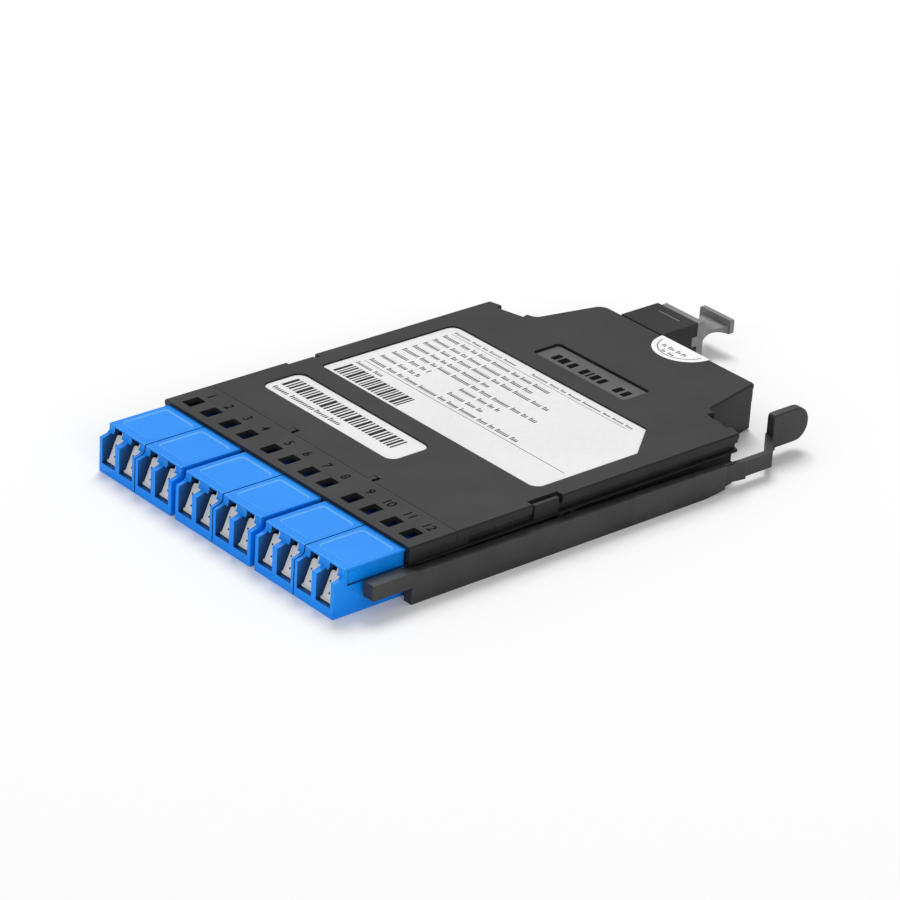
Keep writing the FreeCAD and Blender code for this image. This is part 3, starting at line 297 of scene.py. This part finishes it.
# print, and the painted shade in the shutters' dished spots: dull and flat
printInk = mouldedPlastic("blackLabelInk", dark="101010", light="1C1C1C", rough=0.6,
                          grainSize=0.25, grainDepth=0.004, specular=0.15)
greyInk = mouldedPlastic("greyLabelInk", dark="262626", light="363636", rough=0.6,
                         grainSize=0.25, grainDepth=0.004, specular=0.15)
# dark grey painted shade for the dished spots on the white shutters
paintedDimpleShade = mouldedPlastic("paintedShadeDimple", dark="2E3032", light="3E4042", rough=0.6,
                           grainSize=0.3, grainDepth=0.004, specular=0.1)
numeralInk = mouldedPlastic("blackPadInk", dark="040404", light="0C0C0C", rough=0.7,
                            grainSize=0.3, grainDepth=0.004, specular=0.04)

# reach and panelDepth in mm. The painted shade in the ports is all deep blue below the lower
# share of open sky and gone above the higher one. Each painted highlight says its drop as a
# share of the panel's depth, the upright part of its normal, and how far either may be off.
portSetup = {
    # the painted shade colour inside the ports
    "paintedShadeBlue": "053566",
    "reach": 7.0,
    "samples": 12,
    "fullShadeShare": 0.55,
    "noShadeShare": 0.92,
    "panelDepth": 0.2,
    # a painted highlight on the panels' sloped edges, then a painted sheen on their floors
    "edgeHighlight": {"drop": 0.5, "dropSpread": 0.55, "upright": 0.868, "uprightSpread": 0.08,
                    "colour": "7CC4FF", "share": 0.75},
    "panelSheen": {"drop": 1.0, "dropSpread": 0.2, "upright": 1.0, "uprightSpread": 0.02,
               "colour": "2498FF", "share": 0.4},
}


def colourOver(tree, shader, colour, factor):
    # lays another colour over the one that the shader has, by a 0 to 1 factor
    under = shader.inputs["Base Color"].links[0].from_socket
    mix = addNode(tree, "ShaderNodeMix", {"data_type": "RGBA", 7: hexColour(colour)},
                  {0: factor, 6: under})
    tree.links.new(mix.outputs[2], shader.inputs["Base Color"])


def dressPorts(material):
    # painted shade: a deep blue inside the ports, where the part's own walls close them in;
    # painted highlight: a paler blue on the panels sunk in its top and along their sloped edges
    tree = material.node_tree
    shader = next(n for n in tree.nodes if n.type == "BSDF_PRINCIPLED")
    place = next(n for n in tree.nodes if n.type == "TEX_COORD")
    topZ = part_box("quad_adapter_1")[1].z
    spot = addNode(tree, "ShaderNodeSeparateXYZ", None, {0: place.outputs["Object"]})
    lean = addNode(tree, "ShaderNodeSeparateXYZ", None, {0: place.outputs["Normal"]})
    depth = portSetup["panelDepth"] * mm
    # painted highlight along the sloped edges and painted sheen on the panel floors, laid over
    # the colour by height and lean
    for highlight in (portSetup["edgeHighlight"], portSetup["panelSheen"]):
        near = addNode(tree, "ShaderNodeMath",
                       {"operation": "COMPARE", 1: topZ - depth * highlight["drop"],
                        2: depth * highlight["dropSpread"]}, {0: spot.outputs[2]})
        tilt = addNode(tree, "ShaderNodeMath",
                       {"operation": "COMPARE", 1: highlight["upright"],
                        2: highlight["uprightSpread"]}, {0: lean.outputs[2]})
        both = addNode(tree, "ShaderNodeMath", {"operation": "MULTIPLY"},
                       {0: near.outputs[0], 1: tilt.outputs[0]})
        factor = addNode(tree, "ShaderNodeMath", {"operation": "MULTIPLY", 1: highlight["share"]},
                         {0: both.outputs[0]})
        colourOver(tree, shader, highlight["colour"], factor.outputs[0])
    # painted shade: the less open sky a point sees within reach of the part's own walls, the
    # more deep blue is laid over its colour
    shadeOcclusion = addNode(tree, "ShaderNodeAmbientOcclusion",
                     {"only_local": True, "samples": portSetup["samples"],
                      "Distance": portSetup["reach"] * mm})
    paintedShade = addNode(tree, "ShaderNodeMapRange",
                   {"From Min": portSetup["fullShadeShare"], "From Max": portSetup["noShadeShare"],
                    "To Min": 1.0, "To Max": 0.0}, {"Value": shadeOcclusion.outputs["AO"]})
    colourOver(tree, shader, portSetup["paintedShadeBlue"], paintedShade.outputs[0])


dressPorts(portPbt)

nodeFinish = {
    "base_shell": housingAbs, "top_cover": housingAbs, "front_bezel": bezelAbs,
    "rear_adapter": snoutPbt, "rear_inner_plug": innerPlugAbs, "dust_cap": capPe,
    "latch_lever": leverPom, "fanout_block": fanoutAbs, "fibre_bundle": jacketLszh,
    "main_label": labelFilm, "small_label": labelFilm, "seal_label": sealPaper,
    "marking_plate": plateAbs, "quad_adapter": portPbt, "port_shutter": shutterPc,
    "alignment_sleeve": ceramic, "inner_plug": plugPbt,
}


def finishFor(name):
    # the longest key that a node's name starts with
    return next(nodeFinish[key] for key in sorted(nodeFinish, key=len, reverse=True)
                if name.startswith(key))


for nodeName, nodeObject in nodes.items():
    for materialSlot in nodeObject.material_slots:
        materialSlot.material = finishFor(nodeName)
print("stage: materials")


# printed bars, ticks and rules: lengths in mm, tickCorner as a share of a tick's width and
# tickTop as a share of a row's height above its middle

inkShape = {"cornerSegments": 2, "tickCorner": 0.3, "tickTop": 0.22, "leastStripe": 0.1}


def addBar(x0, x1, y0, y1, z0, thickness, corner=0.0):
    # one patch of ink: a plane, rounded at its corners, then given its thickness
    middle = ((x0 + x1) / 2 * mm, (y0 + y1) / 2 * mm, z0 * mm)
    bpy.ops.mesh.primitive_plane_add(size=1.0, location=middle)
    bar = bpy.context.object
    bar.scale = ((x1 - x0) * mm, (y1 - y0) * mm, 1.0)
    bpy.ops.object.transform_apply(location=False, rotation=False, scale=True)
    bpy.ops.object.mode_set(mode="EDIT")
    bpy.ops.mesh.select_all(action="SELECT")
    if corner:
        bpy.ops.mesh.bevel(offset=corner * mm, segments=inkShape["cornerSegments"],
                           affect="VERTICES")
        bpy.ops.mesh.select_all(action="SELECT")
    bpy.ops.mesh.extrude_region_move(
        TRANSFORM_OT_translate={"value": (0, 0, thickness * mm)})
    bpy.ops.mesh.select_all(action="SELECT")
    bpy.ops.mesh.normals_make_consistent(inside=False)
    bpy.ops.object.mode_set(mode="OBJECT")
    return bar


def addTicks(x0, x1, y0, y1, z0, settings):
    # a printed word as a run of upright ticks, one modelled and the rest repeated from it
    width = settings["tickWidth"]
    count = max(1, int((x1 - x0 - width) / settings["tickPitch"]) + 1)
    tick = addBar(x0, x0 + width, y0, y1, z0, settings["ink"], width * inkShape["tickCorner"])
    bpy.ops.object.modifier_add(type="ARRAY")
    repeat = tick.modifiers[-1]
    repeat.count = count
    repeat.use_relative_offset = False
    repeat.use_constant_offset = True
    repeat.constant_offset_displace = (settings["tickPitch"] * mm, 0, 0)
    bpy.ops.object.modifier_apply(modifier=repeat.name)
    return tick


def printedRow(row, z0, settings):
    # words of a fixed run of lengths, the first tick of each taller, as a capital is
    x0, x1, y, height = row
    low, middle, high = y - height / 2, y + height * inkShape["tickTop"], y + height / 2
    pieces = []
    x = x0
    step = 0
    while x < x1:
        end = min(x + settings["words"][step % len(settings["words"])], x1)
        if end - x > settings["tickWidth"]:
            pieces.append(addTicks(x, end, low, middle, z0, settings))
            pieces.append(addBar(x, x + settings["tickWidth"], middle, high, z0,
                                 settings["ink"]))
        x = end + settings["wordGap"]
        step += 1
    return pieces


def stripeField(settings, z0):
    # upright stripes of a fixed run of widths and gaps
    x0, x1, y0, y1 = settings["stripes"]
    pieces = []
    x = x0
    step = 0
    while x < x1:
        width = settings["stripeWidths"][step % len(settings["stripeWidths"])]
        end = min(x + width, x1)
        if end - x > inkShape["leastStripe"]:
            pieces.append(addBar(x, end, y0, y1, z0, settings["ink"]))
        x = end + settings["stripeGaps"][step % len(settings["stripeGaps"])]
        step += 1
    return pieces


# rows and rules say their x from and to, the y of their middle and their height
mainPrint = {
    "rows": [
        (-33.4, -11.8, 94.75, 0.9), (-6.7, 26.9, 94.75, 0.9),
        (-33.6, 3.3, 91.55, 1.5), (-33.4, 0.6, 88.4, 1.5), (-33.4, 10.0, 85.5, 1.5),
        (-33.4, -6.4, 82.35, 1.5), (-33.4, 12.2, 79.4, 1.5),
        (-33.4, -20.3, 76.3, 1.5), (-10.0, 3.3, 76.3, 1.5),
        (-33.5, -19.8, 72.95, 1.5), (-10.0, 2.0, 72.95, 1.5),
        (-33.4, 17.2, 69.7, 1.5), (-33.8, -24.8, 66.1, 1.2),
    ],
    "rules": [(-33.4, 25.8, 93.55, 0.12), (-33.6, 34.1, 67.95, 0.16)],
    "words": (5.4, 2.9, 1.7, 4.1, 6.0, 2.3, 3.5),
    "wordGap": 0.75,
    "tickWidth": 0.34,
    "tickPitch": 0.6,
    "stripes": (-33.8, -11.5, 58.9, 64.4),
    "stripeWidths": (0.85, 0.42, 0.66, 0.44, 1.0, 0.55, 0.42),
    "stripeGaps": (0.5, 0.4, 0.6, 0.44, 0.38),
    "ink": 0.012,
}

smallPrint = {
    "rows": [(-34.4, -10.6, 42.85, 1.5)],
    "rules": [],
    "words": (5.6, 8.2, 4.4, 6.3),
    "wordGap": 0.5,
    "tickWidth": 0.42,
    "tickPitch": 0.76,
    "stripes": (-34.4, 4.2, 44.75, 49.6),
    "stripeWidths": (0.95, 0.5, 0.75, 0.5, 1.1, 0.6, 0.5),
    "stripeGaps": (0.55, 0.45, 0.65, 0.5, 0.42),
    "ink": 0.012,
}


def labelPrint(name, settings, label):
    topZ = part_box(label)[1].z / mm
    words = []
    for row in settings["rows"]:
        words += printedRow(row, topZ, settings)
    for x0, x1, y, height in settings["rules"]:
        words.append(addBar(x0, x1, y - height / 2, y + height / 2, topZ, settings["ink"]))
    finishPiece(words, name + "Words", "cassette", greyInk)
    stripes = stripeField(settings, topZ)
    finishPiece(stripes, name + "Stripes", "cassette", printInk)


labelPrint("mainLabel", mainPrint, "main_label")
labelPrint("smallLabel", smallPrint, "small_label")
print("stage: label print")

plateMarks = {
    "blocks": (-11.6, -9.4, -7.9, -6.2, -2.3, 0.0, 1.3, 3.8, 9.0, 11.6),
    "widths": (1.6, 1.5, 0.6, 1.6, 1.6, 0.6, 1.7, 1.5, 1.7, 1.6),
    "low": 104.4,
    "high": 107.3,
    "corner": 0.3,
    "cornerShare": 0.3,
    "ink": 0.02,
}


def addPlateMarks():
    # plain blocks printed on the plate, their corners at most cornerShare of their width
    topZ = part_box("marking_plate")[1].z / mm
    pieces = []
    for start, width in zip(plateMarks["blocks"], plateMarks["widths"]):
        corner = min(plateMarks["corner"], width * plateMarks["cornerShare"])
        pieces.append(addBar(start, start + width, plateMarks["low"], plateMarks["high"], topZ,
                             plateMarks["ink"], corner))
    finishPiece(pieces, "plateMarks", "cassette", numeralInk)


addPlateMarks()

sealMarks = {
    "ringInset": 1.3,
    "ringWidth": 0.22,
    "ringCorners": 72,
    "rearMargin": 1.1,
    "rows": [(-1.4, 6.6, 130.1, 1.3), (0.6, 5.2, 127.9, 1.0)],
    "words": (1.5, 2.1, 1.2),
    "wordGap": 0.55,
    "tickWidth": 0.36,
    "tickPitch": 0.66,
    "ink": 0.012,
}


def addSealMarks():
    # a thin arc inside the sticker's edge, cut off before the rear edge, and two short rows
    low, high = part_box("seal_label")
    topZ = high.z / mm
    radius = (high.x - low.x) / 2 - sealMarks["ringInset"] * mm
    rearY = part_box("top_cover")[1].y
    bpy.ops.mesh.primitive_circle_add(vertices=sealMarks["ringCorners"], radius=radius,
                                      fill_type="NGON",
                                      location=((low.x + high.x) / 2, rearY, topZ * mm))
    ring = bpy.context.object
    bpy.ops.object.mode_set(mode="EDIT")
    bpy.ops.mesh.select_all(action="SELECT")
    bpy.ops.mesh.inset(thickness=sealMarks["ringWidth"] * mm)
    bpy.ops.mesh.delete(type="FACE")
    bpy.ops.mesh.select_all(action="SELECT")
    bpy.ops.mesh.bisect(plane_co=(0, rearY - sealMarks["rearMargin"] * mm, 0),
                        plane_no=(0, 1, 0), clear_outer=True)
    bpy.ops.mesh.select_all(action="SELECT")
    bpy.ops.mesh.extrude_region_move(
        TRANSFORM_OT_translate={"value": (0, 0, sealMarks["ink"] * mm)})
    bpy.ops.mesh.select_all(action="SELECT")
    bpy.ops.mesh.normals_make_consistent(inside=False)
    bpy.ops.object.mode_set(mode="OBJECT")
    pieces = [ring]
    for row in sealMarks["rows"]:
        pieces += printedRow(row, topZ, sealMarks)
    finishPiece(pieces, "sealMarks", "cassette", printInk)


addSealMarks()
print("stage: plate and seal marks")


# numerals beside the windows, lengths in mm; wide is a share of the letters' own width, and
# swell thickens their strokes

numeralSetup = {
    "size": 3.45,
    "y": 26.55,
    "thickness": 0.03,
    "swell": 0.05,
    "quadPitch": 27.65,
    "pairPitch": 13.0,
    "portPitch": 6.25,
    "wide": 0.92,
}


def portCentres():
    xs = []
    for quad in (-1, 0, 1):
        for pair in (-0.5, 0.5):
            for side in (-0.5, 0.5):
                xs.append(quad * numeralSetup["quadPitch"] + pair * numeralSetup["pairPitch"]
                          + side * numeralSetup["portPitch"])
    return xs


def addNumerals():
    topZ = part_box("front_bezel")[1].z
    pieces = []
    for number, x in enumerate(portCentres(), start=1):
        bpy.ops.object.text_add(location=(x * mm, numeralSetup["y"] * mm, topZ))
        text = bpy.context.object
        text.data.body = str(number)
        text.data.align_x = "CENTER"
        text.data.size = numeralSetup["size"] * mm
        text.data.extrude = numeralSetup["thickness"] / 2 * mm
        text.data.offset = numeralSetup["swell"] * mm
        text.scale = (numeralSetup["wide"], 1, 1)
        bpy.ops.object.convert(target="MESH")
        pieces.append(bpy.context.object)
    finishPiece(pieces, "portNumerals", "cassette", numeralInk)


addNumerals()
print("stage: numerals")


# small marks, lengths in mm: dished spots on the shutters and a pale bar on the rear adapter;
# castFrom is how far before a shutter the search for its leaning face starts

gateMarkSetup = {
    "radius": 0.23,
    "rim": 0.07,
    "rise": 0.04,
    "dish": 0.02,
    "corners": 14,
    "castFrom": 10.0,
    "places": ((0.40, 0.24), (0.24, 0.52)),  # shares of a shutter's width and height
}


def addGateMarks(shutter, name):
    # where the plastic came into the mould: round dished spots, laid on the leaning face
    low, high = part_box(shutter)
    marks = []
    for across, upward in gateMarkSetup["places"]:
        before = Vector((low.x + (high.x - low.x) * across,
                         low.y - gateMarkSetup["castFrom"] * mm,
                         low.z + (high.z - low.z) * upward))
        spot, lean = nodes[shutter].ray_cast(before, Vector((0, 1, 0)))[1:3]
        bpy.ops.mesh.primitive_circle_add(vertices=gateMarkSetup["corners"], fill_type="NGON",
                                          radius=gateMarkSetup["radius"] * mm)
        mark = bpy.context.object
        bpy.ops.object.mode_set(mode="EDIT")
        bpy.ops.mesh.select_all(action="SELECT")
        bpy.ops.mesh.extrude_region_move(
            TRANSFORM_OT_translate={"value": (0, 0, gateMarkSetup["rise"] * mm)})
        bpy.ops.mesh.inset(thickness=gateMarkSetup["rim"] * mm)
        bpy.ops.transform.translate(value=(0, 0, -gateMarkSetup["dish"] * mm))
        bpy.ops.mesh.select_all(action="SELECT")
        bpy.ops.mesh.normals_make_consistent(inside=False)
        bpy.ops.object.mode_set(mode="OBJECT")
        turn = lean.to_track_quat("Z", "Y").to_matrix().to_4x4()
        mark.matrix_world = Matrix.Translation(spot) @ turn
        marks.append(mark)
    # the spots take the dark grey painted shade
    finishPiece(marks, name, shutter, paintedDimpleShade)


for shutterName in sorted(n for n in nodes if n.startswith("port_shutter")):
    addGateMarks(shutterName, "gateMarks_" + shutterName[-2:])

paleBarSetup = {
    "width": 7.2,
    "length": 0.7,
    "fromRear": 2.8,
    "sunk": 0.15,
    "thickness": 0.11,
    "corner": 0.15,
}


def addKeyMark():
    # a pale bar in the groove on the rear adapter's top, on the key's side
    low, high = (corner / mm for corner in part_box("rear_adapter"))
    middle = (low.x + high.x) / 2
    half = paleBarSetup["width"] / 2
    front = high.y - paleBarSetup["fromRear"] - paleBarSetup["length"] / 2
    bar = addBar(middle - half, middle + half, front, front + paleBarSetup["length"],
                 high.z - paleBarSetup["sunk"], paleBarSetup["thickness"],
                 paleBarSetup["corner"])
    finishPiece([bar], "paleBar", "cassette", plateAbs)


addKeyMark()
print("stage: mould marks")
